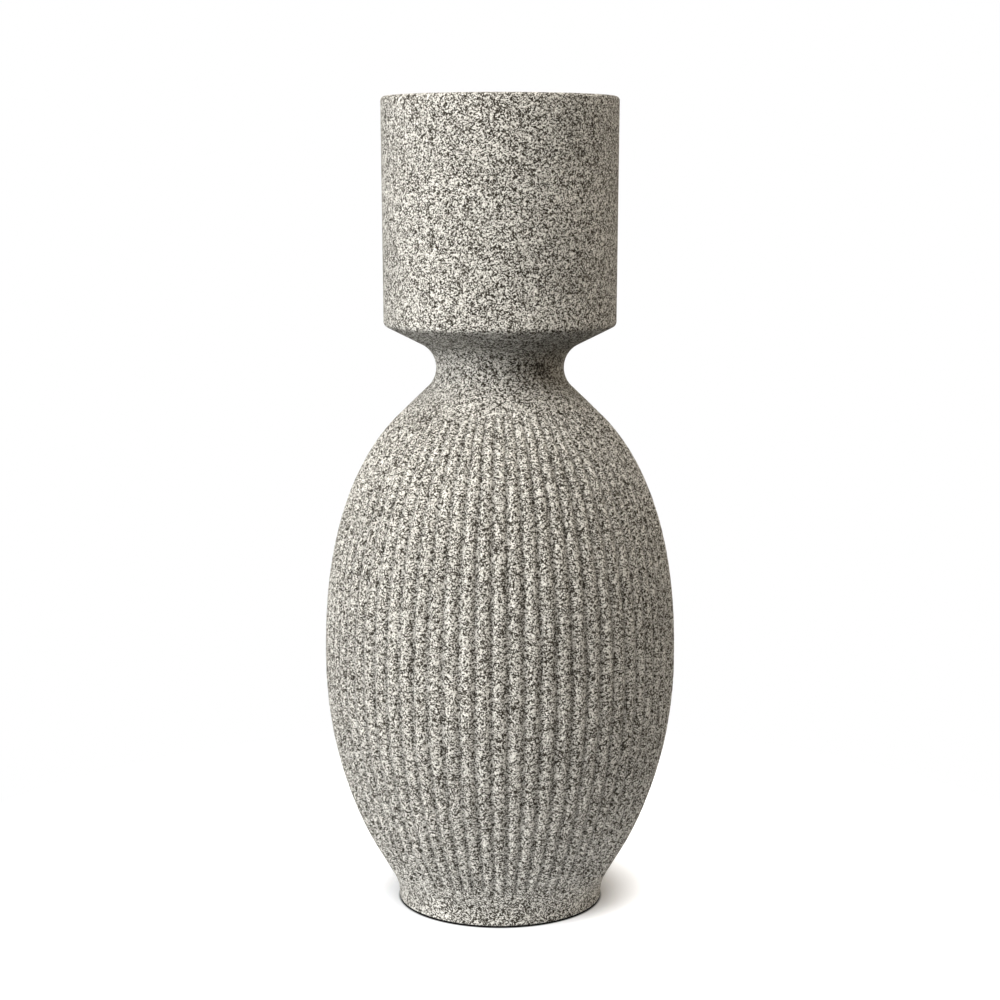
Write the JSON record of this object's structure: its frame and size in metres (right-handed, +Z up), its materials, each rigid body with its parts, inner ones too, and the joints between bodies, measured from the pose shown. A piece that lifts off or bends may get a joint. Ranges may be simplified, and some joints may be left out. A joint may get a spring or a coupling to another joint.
{
  "type": "urn vase",
  "caption": "Reeded egg-shaped stoneware urn vase with a narrow neck and a wide plain drum mouth, standing on a turned foot.",
  "frame": {"origin": "middle of the foot, on the surface that the vase stands on", "axes": "+Z up along the axis of the vase; a crest of the reeding faces the front, which is -Y"},
  "size_m": [0.2618, 0.262, 0.6],
  "materials": {
    "speckled_stoneware": "matt speckled granite glaze: off-white, warm grey and near-black grains",
    "bare_stoneware": "bare fired stoneware, matt",
    "felt": "pressed wool felt, black"
  },
  "bodies": {
    "root": {"felt_ring": "felt", "foot_ring": "speckled_stoneware", "base_slab": "bare_stoneware", "foot_coil": "bare_stoneware", "lower_body": "speckled_stoneware", "belly_coil": "bare_stoneware", "upper_body": "speckled_stoneware", "neck_collar": "speckled_stoneware", "drum_floor": "speckled_stoneware", "drum_coil": "speckled_stoneware", "drum_wall": "speckled_stoneware"}
  },
  "joints": []
}
